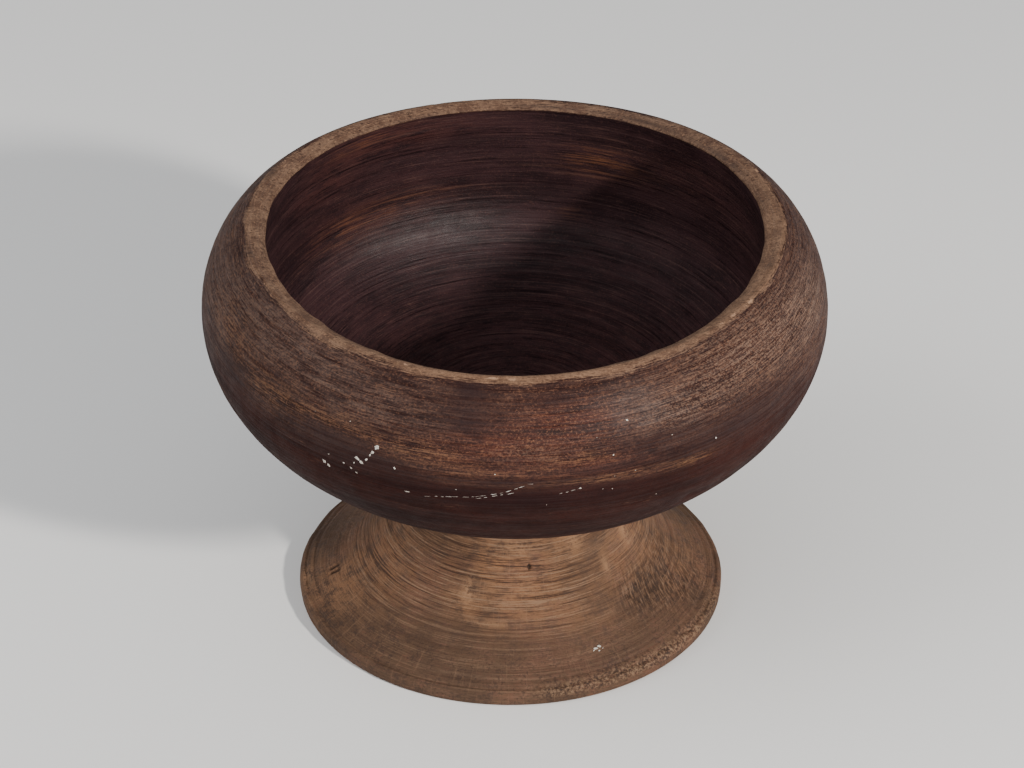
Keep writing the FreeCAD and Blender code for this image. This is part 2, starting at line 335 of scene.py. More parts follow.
# Zones of the bowl's finish at their heights in mm: those on its outside, then those inside.
BOWL_PATCHES = {
    "ruddy": (
        [(281, 184, 9, 8, 1.0), (269, 177, 8, 9, 0.9), (276, 168, 16, 7, 0.7), (258, 176, 7, 6, 0.4)],
        [(122, 188, 22, 8, 0.9), (143, 176, 12, 8, 0.7), (128, 150, 22, 14, 0.6), (40, 180, 20, 14, 0.4),
         (270, 100, 200, 14, 0.6)],
    ),
    # Grey dusting on the outside shoulder; the spot at 291 degrees and the two spots inside are painted
    # sheen, where the key light's highlight falls.
    "dusty": (
        [(228, 193, 24, 12, 0.75), (291, 189, 4, 6, 0.9), (211, 195, 16, 9, 0.8), (246, 184, 12, 6, 0.6),
         (344, 182, 16, 14, 0.9), (196, 176, 10, 14, 0.8)],
        [(112, 132, 14, 12, 1.0), (95, 122, 12, 12, 0.6)],
    ),
    "ochre": (
        [
            (254, 172, 6, 4, 1.0), (281, 171.5, 6, 2, 0.9), (301, 156.5, 5, 2.4, 0.9),
            (288, 159.5, 7, 1.6, 0.9), (267, 166, 10, 3, 0.5), (206, 182, 8, 8, 0.7),
            (223, 173, 9, 6, 0.8), (240, 176, 12, 5, 0.6), (276, 160, 14, 1.8, 0.6),
        ],
        [(69, 171, 9, 8, 1.0), (130, 192, 10, 4, 0.7), (133, 148, 16, 7, 0.7), (113, 152, 14, 3, 0.6),
         (76, 140, 4, 3, 0.5)],
    ),
    "speckle": (
        [(318, 189, 18, 12, 1.0), (299, 180, 9, 7, 0.6), (338, 182, 12, 12, 0.9), (272, 174, 8, 6, 0.5),
         (45, 182, 30, 16, 0.7), (170, 184, 24, 14, 0.6)],
        [(60, 172, 20, 14, 0.7), (20, 168, 24, 16, 0.5)],
    ),
    "dark": (
        [(261.6, 195.5, 3, 2.5, 0.9), (277, 192.8, 3.5, 1.4, 0.8), (314, 166, 16, 7, 0.7),
         (243, 163, 9, 5, 0.7), (236, 168, 9, 4, 0.6), (272, 172, 3, 2, 0.4),
         (272, 152, 17, 5, 0.8), (271, 161, 12, 2.2, 0.9), (268, 169, 8, 3, 0.45),
         (284, 165, 7, 1.6, 0.7), (262, 187, 5, 8, 0.75), (294, 173, 10, 3.5, 0.7),
         (246, 177, 8, 3, 0.45), (212, 168, 10, 6, 0.6), (228, 178, 7, 3, 0.4)],
        [(104, 180, 9, 6, 0.8), (80, 152, 9, 6, 0.6), (160, 150, 16, 14, 0.5)],
    ),
}


def bowl_outline():
    seat = (SEAT_RADIUS, SEAT_HEIGHT)
    shoulder = (SHOULDER_RADIUS, SHOULDER_RADIUS)
    wall = (INNER_WALL_RADIUS, INNER_WALL_RADIUS)
    points = [(0, SOCKET_TOP), (DOWEL_RADIUS, SOCKET_TOP), (DOWEL_RADIUS, SEAT_HEIGHT)]
    points += arc(BELLY, OUTER_RADII, arc_angle(BELLY, OUTER_RADII, seat), 0)
    points += arc(SHOULDER_CENTRE, shoulder, 0, arc_angle(SHOULDER_CENTRE, shoulder, LIP_OUTER))
    points += arc(WALL_CENTRE, wall, arc_angle(WALL_CENTRE, wall, LIP_INNER), 0)
    inner_depth = INNER_BELLY_HEIGHT - FLOOR_HEIGHT
    points += arc(INNER_BELLY, (INNER_BELLY_RADIUS, inner_depth), 0, -90)
    points, along = dense(points)
    points = soften(points, LIP_OUTER, *LIP_OUTER_EASE)
    points = soften(points, LIP_INNER, *LIP_INNER_EASE)
    eased = soften(points, WALL_TURN, *WALL_EASE)
    inside = along > distance_at(points, along, LIP_INNER)
    points = np.where(inside[:, None], eased, points)
    return points, along


def bend_bowl(co):
    """Shrinkage warp: the rim rises at the end-grain sides and the belly is slightly oval."""
    theta = np.arctan2(co[:, 1], co[:, 0])
    radius = np.hypot(co[:, 0], co[:, 1])
    up = ramp(co[:, 2], BELLY_HEIGHT - 30 * MM, BOWL_HIGH.z)
    free = ramp(radius, SEAT_RADIUS, BELLY_RADIUS * 0.7)
    stretch = 1 + BOWL_OVAL * np.cos(2 * theta) * free
    lift = SADDLE * np.cos(2 * theta) * up
    return np.stack([co[:, 0] * stretch, co[:, 1] * stretch, co[:, 2] + lift], 1)


def bowl_rings(seat_edge, lip_outer, lip_inner, end):
    """Rings from the socket round the outside and the lip to the middle of the floor."""
    socket_edge = DOWEL_RADIUS + SOCKET_TOP - SEAT_HEIGHT
    lip_start, lip_end = lip_outer - 8 * MM, lip_inner + 5 * MM
    return ring_places([
        (1 * MM, DOWEL_RADIUS, 6 * MM, BOWL_SEGMENTS),
        (DOWEL_RADIUS, socket_edge, 12 * MM, BOWL_SEGMENTS),
        (socket_edge, seat_edge, 8 * MM, BOWL_SEGMENTS),
        (seat_edge, lip_start, 1.35 * MM, BOWL_SEGMENTS),
        (lip_start, lip_end, 0.5 * MM, LIP_SEGMENTS),
        (lip_end, end - 2 * MM, 1.9 * MM, BOWL_SEGMENTS),
    ])


def bowl_zones(bowl, seat_edge, lip_outer, lip_inner):
    """Numbers per vertex that the relief and the material of the bowl are made from."""
    theta, s = bowl.theta, bowl.s
    from_lip = s - lip_outer
    edge = ring_noise(4, theta, s, 90, 3 * MM)
    ragged = ring_noise(6, theta, s, 150, 2 * MM)
    outer_edge = np.exp(-((from_lip / (2.5 * MM)) ** 2))
    return SimpleNamespace(
        outside=ramp(s, seat_edge, seat_edge + 3 * MM) * ramp(from_lip, 1 * MM, -2 * MM),
        lip=ramp(from_lip, -3 * MM, 0) * ramp(s, lip_inner + 1 * MM, lip_inner),
        inside=ramp(s, lip_inner, lip_inner + 2 * MM),
        from_lip=from_lip,
        edge=edge,
        ragged=ragged,
        end_grain=np.abs(np.cos(theta)) ** 3,
        chips=patches(theta, from_lip, LIP_CHIPS) * (0.7 + 0.6 * ragged),
        random_chips=ramp(edge, 0.55, 0.9) * outer_edge,
    )


def bowl_relief(bowl, zones, lip_inner):
    """Tool marks, hand wear, chips and dents over the outline, in mm."""
    theta, s = bowl.theta, bowl.s
    turned = ring_noise(1, theta, s, 7, 2.7 * MM)
    fine = ring_noise(2, theta, s, 16, 1.4 * MM)
    hand = ring_noise(3, theta, s, 5, 30 * MM)
    inner_edge = np.exp(-(((s - lip_inner) / (1.2 * MM)) ** 2))
    relief = zones.outside * (0.07 * turned + 0.05 * fine + 0.35 * hand)
    relief += zones.inside * (0.06 * turned + 0.03 * fine + 0.25 * hand)
    relief += zones.lip * (0.10 * zones.edge + 0.10 * zones.ragged * (0.5 + zones.end_grain) + 0.2 * hand)
    relief += 0.30 * zones.edge * inner_edge - 0.45 * zones.random_chips
    relief -= zones.chips * (0.8 + 0.5 * zones.ragged)
    return relief - patches(theta, bowl.height, BELLY_DENTS) * zones.outside


def paint_bowl(piece, bowl, zones, lip_outer, lip_inner):
    """Store the numbers per vertex that stained_wood() reads."""
    theta, s, height, inside = bowl.theta, bowl.s, bowl.height, zones.inside
    wander = 1.6 * MM * ring_noise(5, theta, s, 40, 40 * MM) + 0.8 * MM * zones.edge
    lip_start = lip_outer - 0.6 * MM + MM * np.where(theta > math.pi, 2.4, 1.3) * np.sin(theta)
    lip_mask = ramp(s + wander, lip_start - 2.6 * MM, lip_start + 2.2 * MM)
    rubbed = 0.06 + 0.08 * ramp(height, 150 * MM, 166 * MM) + 0.22 * patches(theta, height, SHOULDER_SHEEN)
    waxed = 0.07 + 0.26 * patches(theta, height, INNER_SHEEN)
    drift = ring_noise(7, theta, s, 11, 22 * MM)
    belly_line = BELLY_HEIGHT + (5 * np.cos(theta - math.radians(205)) + 4 * drift) * MM
    amounts = {
        "across": s,
        "ends": zones.end_grain,
        "inside": inside,
        "lip": lip_mask * ramp(s, lip_inner + 1.2 * MM, lip_inner + 0.2 * MM),
        "polish": (1 - inside) * rubbed + inside * waxed,
        # Worn brown above a wandering belly line; below it the plum is partly painted shade of the underside.
        "wear": zones.outside * ramp(height, belly_line - 9 * MM, belly_line + 10 * MM),
        "lit": np.clip(patches(theta, zones.from_lip, LIP_LIGHT), 0, 1),
        "fresh": np.clip(zones.chips * 1.3 + zones.random_chips * 0.5, 0, 1),
        "stain": np.clip(patches(theta, zones.from_lip, LIP_STAINS), 0, 1),
    }
    for name, (outer, inner) in BOWL_PATCHES.items():
        amount = patches(theta, height, outer) * (1 - inside) + patches(theta, height, inner) * inside
        amounts[name] = np.clip(amount, 0, 1)
    for name, amount in amounts.items():
        paint(piece, name, amount)


def make_bowl():
    points, along = bowl_outline()
    seat_edge = distance_at(points, along, (SEAT_RADIUS, SEAT_HEIGHT))
    lip_outer = distance_at(points, along, LIP_OUTER)
    lip_inner = distance_at(points, along, LIP_INNER)
    bowl = Turning(points, along, bowl_rings(seat_edge, lip_outer, lip_inner, along[-1]))
    zones = bowl_zones(bowl, seat_edge, lip_outer, lip_inner)
    relief = bowl_relief(bowl, zones, lip_inner)
    mouth = ramp(bowl.s, lip_outer + 1 * MM, lip_inner) * ramp(bowl.s, lip_inner + 30 * MM, lip_inner)
    bowl.radius = bowl.radius + MOUTH_OVAL * np.cos(2 * bowl.theta) * mouth
    piece = bowl.build("bowl_wood", relief * MM, bend_bowl, (SOCKET_TOP, FLOOR_HEIGHT))
    paint_bowl(piece, bowl, zones, lip_outer, lip_inner)
    return piece


# ---------------------------------------------------------------- foot

FLARE_CENTRE = (FLARE_CENTRE_RADIUS, FLARE_CENTRE_HEIGHT)
NECK_RADIUS = FLARE_CENTRE_RADIUS - math.sqrt(
    FLARE_RADIUS**2 - (FLARE_CENTRE_HEIGHT - SEAT_HEIGHT) ** 2
)
FLARE_END = (
    FLARE_END_RADIUS,
    FLARE_CENTRE_HEIGHT - math.sqrt(FLARE_RADIUS**2 - (FLARE_CENTRE_RADIUS - FLARE_END_RADIUS) ** 2),
)
HOLLOW_ROUND = (HOLLOW_RADIUS**2 + HOLLOW_RISE**2) / (2 * HOLLOW_RISE)
FOOT_OVAL = 0.03
FOOT_DRIFT = -2.0 * MM
EDGE_TOP_EASE = (0.9 * MM, 4 * MM)
EDGE_LOW_EASE = (0.5 * MM, 2 * MM)
FOOT_SEGMENTS = 560

# Lines turned near the edge: distance from the axis, half width and depth, in mm.
FOOT_LINES = [(96.2, 0.7, 0.85), (92.4, 0.8, 0.45)]

# Two short slots side by side along the grain, by their middles in mm, and a worm hole.
SLOTS = [(-82.4, -12.6), (-82.0, -15.8)]
SLOT_HALF_LENGTH = 2.4
SLOT_HALF_WIDTH = 0.9
HOLE_ANGLE = math.radians(277.7)
HOLE_PLACE = 55.2
HOLE_RADII = (1.05, 0.45)
HOLE_DEPTH = 1.4

# Which way the torn grain runs, seen from above, and how long and wide its ticks are.
TORN_ALONG = (0.47, -0.88)
TORN_TICK = (5 * MM, 1.5 * MM)


def foot_outline():
    dish = (0.0, HOLLOW_RISE - HOLLOW_ROUND)
    dish_radii = (HOLLOW_ROUND, HOLLOW_ROUND)
    dish_start = math.degrees(math.acos(DOWEL_RADIUS / HOLLOW_ROUND))
    dish_end = math.degrees(math.acos(HOLLOW_RADIUS / HOLLOW_ROUND))
    flare = (FLARE_RADIUS, FLARE_RADIUS)
    flare_start = arc_angle(FLARE_CENTRE, flare, FLARE_END)
    flare_end = arc_angle(FLARE_CENTRE, flare, (NECK_RADIUS, SEAT_HEIGHT))
    points = arc(dish, dish_radii, dish_start, dish_end)
    points += [(REST_RADIUS, 0), (FOOT_RADIUS, EDGE_LOW_HEIGHT), (FOOT_RADIUS, EDGE_TOP_HEIGHT)]
    points += arc(FLARE_CENTRE, flare, flare_start % 360, flare_end % 360)
    points += [(DOWEL_RADIUS, SEAT_HEIGHT), points[0]]
    points, along = dense(points)
    points = soften(points, (FOOT_RADIUS, EDGE_TOP_HEIGHT), *EDGE_TOP_EASE)
    points = soften(points, (FOOT_RADIUS, EDGE_LOW_HEIGHT), *EDGE_LOW_EASE)
    return points, along


def bend_foot(co):
    """Shrinkage warp: the flare is oval along the grain and sits slightly off the axis."""
    theta = np.arctan2(co[:, 1], co[:, 0])
    radius = np.hypot(co[:, 0], co[:, 1])
    free = ramp(radius, DOWEL_RADIUS + 3 * MM, FOOT_RADIUS)
    stretch = 1 + FOOT_OVAL * np.cos(2 * theta) * free
    drift = FOOT_DRIFT * free * ramp(co[:, 2], SEAT_HEIGHT, SEAT_HEIGHT * 0.4)
    return np.stack([co[:, 0] * stretch + drift, co[:, 1] * stretch, co[:, 2]], 1)


# Zones of the foot's surface, placed by their distance from the axis in mm.
FOOT_PATCHES = {
    # Warmer, paler wood at the front; the spots on the left side, at 196 and 205 degrees, are painted light
    # on the side turned away from the key light.
    "warm_and_lit": [(268, 54, 20, 9, 1.0), (276, 64, 16, 9, 0.6), (300, 50, 8, 5, 0.7), (250, 66, 7, 4, 0.7),
             (290, 72, 20, 8, 0.3), (205, 62, 22, 14, 0.7), (338, 60, 22, 10, 0.7), (196, 84, 16, 14, 0.7),
             (352, 80, 22, 14, 0.5)],
    "pale": [(251, 62, 3.2, 3.5, 1.0), (335.5, 56.5, 3.5, 4, 0.9), (303, 51, 5, 3, 0.6),
             (316, 60, 2, 3, 0.7), (187, 95.5, 5, 3, 0.6), (270, 51, 12, 1.6, 0.5), (262, 71, 10, 1.0, 0.5)],
    "torn": [(334, 75, 13, 9, 1.0), (322, 72, 8, 6, 0.8), (345, 86, 12, 7, 0.7), (352, 70, 10, 8, 0.5),
             (168, 78, 12, 8, 0.4)],
    "pitted": [(306, 97.5, 20, 3.2, 1.1), (328, 98, 10, 3.2, 1.0), (284, 98, 8, 3, 0.6),
               (345, 98, 6, 3, 0.7)],
    "dirty": [(270, 80, 26, 5, 0.35), (240, 74, 12, 6, 0.35), (162, 95, 12, 6, 1.0),
              (188, 95.5, 2.2, 2.4, 1.0), (176, 84, 14, 9, 0.6), (300, 90, 24, 5, 0.5),
              (330, 76, 20, 12, 0.45), (284, 78, 12, 8, 0.35), (255, 92, 14, 4, 0.6), (340, 91, 6, 3, 0.7)],
    "grooved": [(250, 56, 50, 14, 1.0), (215, 66, 30, 14, 0.8), (285, 62, 26, 16, 0.6), (250, 88, 30, 8, 0.3),
                (20, 60, 60, 16, 0.7), (130, 62, 50, 18, 0.8)],
}
RIM_CHIPS = [(188, 95.5, 1.8, 2.0, 1.0), (162, 96, 5, 3, 0.6)]


def foot_rings(points, along, rest_outer, flare_start, neck):
    """Rings from the bore's lower edge out over the dish, up the edge and flare, and down the bore."""
    rest_inner = distance_at(points, along, (HOLLOW_RADIUS, 0))
    bore_top = distance_at(points, along, (DOWEL_RADIUS, SEAT_HEIGHT))
    runs = [
        (0, rest_inner, 6 * MM),
        (rest_inner, rest_outer, 4 * MM),
        (rest_outer, flare_start + 8 * MM, 0.5 * MM),
        (flare_start + 8 * MM, flare_start + 40 * MM, 0.8 * MM),
        (flare_start + 40 * MM, neck, 0.65 * MM),
        (neck, bore_top, 12 * MM),
        (bore_top, along[-1], 30 * MM),
    ]
    return ring_places([(*run, FOOT_SEGMENTS) for run in runs])[:-1]


def torn_ticks(foot):
    """Noise drawn out along the torn grain."""
    x, y = foot.radius * np.cos(foot.theta), foot.radius * np.sin(foot.theta)
    run = (x * TORN_ALONG[0] + y * TORN_ALONG[1]) / TORN_TICK[0]
    side = (x * TORN_ALONG[1] - y * TORN_ALONG[0]) / TORN_TICK[1]
    return plane_noise(17, run, side)


def holes_cut(foot):
    """Share of full depth of the two slots and the worm hole."""
    x, y = (foot.radius / MM * np.cos(foot.theta), foot.radius / MM * np.sin(foot.theta))
    depth = np.zeros_like(x)
    for middle, level in SLOTS:
        along_slot = (x - middle) / SLOT_HALF_LENGTH
        across_slot = (y - level) / SLOT_HALF_WIDTH
        depth += np.exp(-(along_slot**4) - across_slot**4)
    hole = np.hypot(x - HOLE_PLACE * math.cos(HOLE_ANGLE), y - HOLE_PLACE * math.sin(HOLE_ANGLE))
    return np.clip(depth + ramp(hole, *HOLE_RADII), 0, 1)


def foot_relief(foot, zones, rest_outer, flare_start, neck):
    """Turned grooves, hand wear, torn grain and pits over the outline, in mm."""
    theta, s = foot.theta, foot.s
    flare = ramp(s, flare_start, flare_start + 3 * MM) * ramp(s, neck, neck - 2 * MM)
    rim = ramp(s, rest_outer + 0.5 * MM, rest_outer + 2 * MM) * ramp(s, flare_start + 4 * MM, flare_start)
    turned = ring_noise(11, theta, s, 6, 1.7 * MM)
    fine = ring_noise(12, theta, s, 14, 1.1 * MM)
    broad = ring_noise(13, theta, s, 4, 6 * MM)
    hand = ring_noise(14, theta, s, 6, 25 * MM)
    worn = ring_noise(15, theta, s, 110, 1.6 * MM)
    pits = ring_noise(16, theta, s, 230, 1.7 * MM)
    grooves = 0.08 + 0.14 * zones["grooved"]
    relief = flare * (grooves * turned + 0.08 * fine + 0.12 * broad + 0.3 * hand)
    relief += rim * (0.15 * worn + 0.2 * hand)
    relief -= zones["torn"] * (0.25 + 0.55 * ramp(torn_ticks(foot), -0.1, 0.6))
    relief -= zones["pitted"] * (0.25 + 0.75 * ramp(pits, 0.0, 0.7))
    return relief - HOLE_DEPTH * zones["holes"]


def foot_lines(foot, pitted):
    """Depth of the two turned lines in mm, fainter where the edge is pitted."""
    depth = np.zeros_like(foot.theta)
    for middle, half_width, full in FOOT_LINES:
        depth += full * np.exp(-(((foot.radius / MM - middle) / half_width) ** 2))
    return depth * (foot.height > 6 * MM) * (1 - 0.8 * pitted)


def make_foot():
    points, along = foot_outline()
    rest_outer = distance_at(points, along, (REST_RADIUS, 0))
    flare_start = distance_at(points, along, FLARE_END)
    neck = distance_at(points, along, (NECK_RADIUS, SEAT_HEIGHT))
    rings = foot_rings(points, along, rest_outer, flare_start, neck)
    foot = Turning(points, along, rings, closed=True)
    theta, s, radius = foot.theta, foot.s, foot.radius
    upper = (foot.height > EDGE_LOW_HEIGHT) * (s > rest_outer) * (s < neck + 1 * MM)
    zones = {
        name: np.clip(patches(theta, radius, spots), 0, 1) * upper for name, spots in FOOT_PATCHES.items()
    }
    lines = foot_lines(foot, zones["pitted"])
    zones["pitted"] = zones["pitted"] * ramp(foot.height, 3 * MM, 5.5 * MM)
    zones["holes"] = holes_cut(foot) * upper
    zones["outward"] = upper * ramp(radius, 62 * MM, 92 * MM)
    relief = foot_relief(foot, zones, rest_outer, flare_start, neck) - lines
    relief -= np.clip(patches(theta, radius, RIM_CHIPS), 0, 1) * upper
    piece = foot.build("foot_wood", relief * MM, bend_foot)
    paint(piece, "across", s)
    for name, amount in zones.items():
        paint(piece, name, amount)
    return piece


# ---------------------------------------------------------------- materials


class Wood:
    """Small builder for a procedural wood material."""

    def __init__(self, name, tone=(1.0, 1.0, 1.0)):
        self.tone = tone
        self.material = bpy.data.materials.new(name)
        self.material.use_nodes = True
        self.tree = self.material.node_tree
        self.tree.nodes.clear()
        self.masks = {}
        place = self.node("ShaderNodeTexCoord").outputs["Object"]
        flat = self.node("ShaderNodeVectorMath", {0: place, 1: (1, 1, 0)}, operation="MULTIPLY")
        around = self.node("ShaderNodeVectorMath", {0: flat.outputs[0]}, operation="NORMALIZE")
        self.place = place
        self.around = around.outputs[0]
        self.across = self.mask("across")

    def node(self, kind, inputs=(), **settings):
        node = self.tree.nodes.new(kind)
        for key, setting in settings.items():
            setattr(node, key, setting)
        for key, value in dict(inputs).items():
            socket = node.inputs[key]
            if isinstance(value, bpy.types.NodeSocket):
                self.tree.links.new(value, socket)
            else:
                socket.default_value = value
        return node

    def mask(self, name):
        """Number per vertex painted on the piece."""
        if name not in self.masks:
            self.masks[name] = self.node("ShaderNodeAttribute", attribute_name=name).outputs["Fac"]
        return self.masks[name]

    def times(self, a, b):
        return self.node("ShaderNodeMath", {0: a, 1: b}, operation="MULTIPLY").outputs[0]

    def noise(self, scale, detail=3.0, roughness=0.5, place=None):
        """Noise with so many cells per metre along each axis."""
        inputs = {0: place or self.place, 1: scale}
        scaled = self.node("ShaderNodeVectorMath", inputs, operation="MULTIPLY")
        return self.cells(scaled.outputs[0], detail, roughness)

    def cells(self, vector, detail, roughness):
        inputs = {"Vector": vector, "Scale": 1.0, "Detail": detail, "Roughness": roughness}
        return self.node("ShaderNodeTexNoise", inputs).outputs["Fac"]

    def streaks(self, turns, pitch, detail=3.0, roughness=0.6):
        """Noise drawn out round the axis: cells per radian, and metres across the streaks."""
        lift = self.times(self.across, 1 / pitch)
        upright = self.node("ShaderNodeCombineXYZ", {2: lift}).outputs[0]
        lathe = self.node(
            "ShaderNodeVectorMath",
            {0: self.around, 1: (turns, turns, 0), 2: upright},
            operation="MULTIPLY_ADD",
        )
        return self.cells(lathe.outputs[0], detail, roughness)

    def grain(self, length, width, detail=2.0):
        """Noise drawn out along X, the way the wood's fibres run."""
        return self.noise((1 / length, 1 / width, 1 / width), detail, 0.55)

    def levels(self, value, low, high, start=0.0, end=1.0):
        """value from low..high to start..end, smoothly and clamped."""
        inputs = {"Value": value, "From Min": low, "From Max": high, "To Min": start, "To Max": end}
        return self.node("ShaderNodeMapRange", inputs, interpolation_type="SMOOTHSTEP").outputs[0]

    def mix(self, factor, a, b):
        inputs = {0: factor, 6: self.colour(a), 7: self.colour(b)}
        return self.node("ShaderNodeMix", inputs, data_type="RGBA").outputs[2]

    def colour(self, value):
        if isinstance(value, tuple):
            return (*(a * b for a, b in zip(value, self.tone)), 1.0)
        return value

    def sum(self, *terms):
        """Weighted sum of (value, weight) pairs."""
        total = self.times(*terms[0])
        for value, weight in terms[1:]:
            inputs = {0: value, 1: weight, 2: total}
            total = self.node("ShaderNodeMath", inputs, operation="MULTIPLY_ADD").outputs[0]
        return total

    def product(self, *values):
        total = values[0]
        for value in values[1:]:
            total = self.times(total, value)
        return total

    def band(self, low, high, *terms):
        """levels() of a weighted sum of (value, weight) pairs."""
        return self.levels(self.sum(*terms), low, high)

    def coats(self, base, colours, layers):
        """Named colours laid over a base in turn, each by the product of its amounts."""
        for name, *amounts in layers:
            base = self.mix(self.product(*amounts), base, colours[name])
        return base

    def finish(self, base, roughness, heights, gleam):
        """Principled shader; heights are (value, metres) pairs stacked as bumps."""
        normal = None
        for value, distance in heights:
            inputs = {"Height": value, "Distance": distance, "Strength": 1.0}
            if normal:
                inputs["Normal"] = normal
            normal = self.node("ShaderNodeBump", inputs).outputs[0]
        inputs = {"Base Color": base, "Roughness": roughness, "Normal": normal, "Specular IOR Level": gleam}
        shader = self.node("ShaderNodeBsdfPrincipled", inputs)
        self.node("ShaderNodeOutputMaterial", {"Surface": shader.outputs[0]})
        return self.material


# Each material's colours are multiplied by its tone.
STAIN_TONE = (0.72, 0.60, 0.58)
BARE_TONE = (0.60, 0.565, 0.565)
DOWEL_TONE = (0.62, 0.58, 0.55)
WEDGE_TONE = (0.30, 0.25, 0.23)

OUTSIDE = {
    # The plum, which shows below the belly line, is partly painted shade: darker for the underside.
    "plum": (0.022, 0.0088, 0.0080), "pale plum": (0.045, 0.0170, 0.0135),
    "brown": (0.040, 0.020, 0.017), "pale brown": (0.076, 0.043, 0.032),
    "rubbed": (0.165, 0.098, 0.060), "red": (0.080, 0.0245, 0.0165), "glow": (0.180, 0.064, 0.034),
    "ochre": (0.26, 0.155, 0.082), "dust_and_sheen_grey": (0.128, 0.100, 0.084), "speck": (0.255, 0.192, 0.142),
    "gap": (0.016, 0.008, 0.008), "bright grain": (0.250, 0.135, 0.075),
    "pit": (0.020, 0.010, 0.010), "dark": (0.024, 0.0125, 0.0140),
}
INSIDE = {
    "maroon": (0.024, 0.0145, 0.0180), "pale maroon": (0.049, 0.0275, 0.0320),
    "ring": (0.100, 0.060, 0.055), "red": (0.098, 0.040, 0.034), "gilt": (0.180, 0.083, 0.039),
    # Painted sheen: the first grey-purple colour below stands for the highlight on the wall inside.
    "dust_and_sheen_grey": (0.058, 0.038, 0.044), "bright grain": (0.125, 0.068, 0.058),
    "speck": (0.12, 0.060, 0.041), "furrow": (0.010, 0.0062, 0.0078), "dark": (0.015, 0.009, 0.012),
}
LIP = {
    "brown": (0.108, 0.069, 0.048), "tan": (0.215, 0.154, 0.104), "rubbed": (0.34, 0.240, 0.158),
    "pore": (0.040, 0.024, 0.019), "pale": (0.40, 0.270, 0.160), "gap": (0.075, 0.046, 0.032),
    "bright grain": (0.42, 0.290, 0.175), "stain": (0.042, 0.031, 0.028), "fresh": (0.46, 0.33, 0.215),
}
BARE = {
    "brown": (0.098, 0.054, 0.031), "tan": (0.190, 0.110, 0.064), "grey": (0.122, 0.080, 0.053),
    "warm_and_lit": (0.46, 0.245, 0.125), "rosy": (0.27, 0.125, 0.080), "furrow": (0.075, 0.040, 0.025),
    "ridge": (0.37, 0.240, 0.148), "fleck": (0.058, 0.034, 0.023), "dirt": (0.070, 0.045, 0.034),
    "torn ridge": (0.34, 0.225, 0.145), "splinter": (0.052, 0.032, 0.023),
    "scratch": (0.36, 0.22, 0.13), "pale": (0.50, 0.30, 0.165), "grit": (0.055, 0.033, 0.024),
    "crumb": (0.36, 0.24, 0.145), "pit": (0.055, 0.034, 0.025), "hole": (0.040, 0.024, 0.018),
}
CUT = {
    "brown": (0.22, 0.135, 0.075), "tan": (0.33, 0.215, 0.125),
    "fibre": (0.10, 0.058, 0.034), "grime": (0.15, 0.105, 0.075),
}
DIRTY_PAINT = (0.33, 0.29, 0.25)
CLEAN_PAINT = (0.60, 0.57, 0.52)
FLOOR_SHADES = (0.76, 0.82)


def stained_noises(wood):
    """The noises of the stained finish, and the patches shared by its outside and its inside."""
    n = SimpleNamespace(
        bands=wood.streaks(1.2, 11 * MM),
        blotches=wood.streaks(7.0, 3.5 * MM, 6.0, 0.68),
        lines=wood.streaks(3.0, 1.5 * MM, 4.0, 0.65),
        threads=wood.streaks(1.6, 1.0 * MM, 4.0, 0.62),
        hairs=wood.streaks(8.0, 0.55 * MM, 4.0, 0.65),
        dashes=wood.streaks(34.0, 0.45 * MM, 4.0, 0.7),
        mottle=wood.noise((30, 30, 30), 4),
        cloud=wood.noise((130, 130, 130), 6, 0.7),
        grit=wood.noise((1100, 1100, 1500), 3, 0.65),
        grains=wood.noise((950, 950, 1150), 4, 0.75),
        pores=wood.grain(7 * MM, 0.7 * MM),
    )
    n.depth = wood.sum((n.bands, 0.35), (n.mottle, 0.25), (n.blotches, 0.40))
    n.thin = wood.sum((n.lines, 0.24), (n.hairs, 0.40), (n.dashes, 0.36))
    n.speckled = wood.sum((n.grains, 0.75), (n.dashes, 0.25))
    for name, mask, low, high, terms in (
        ("reddened", "ruddy", 0.41, 0.55, ((n.thin, 0.6), (n.blotches, 0.4))),
        # These grey streaks are partly painted sheen, where the key light's highlight falls on the shoulder
        # and inside.
        ("powder", "dusty", 0.42, 0.57, ((n.thin, 0.65), (n.blotches, 0.35))),
        ("specks", "speckle", 0.46, 0.57, ((n.grit, 0.4), (n.dashes, 0.3), (n.hairs, 0.3))),
    ):
        setattr(n, name, wood.product(wood.mask(mask), wood.band(low, high, *terms)))
    return n


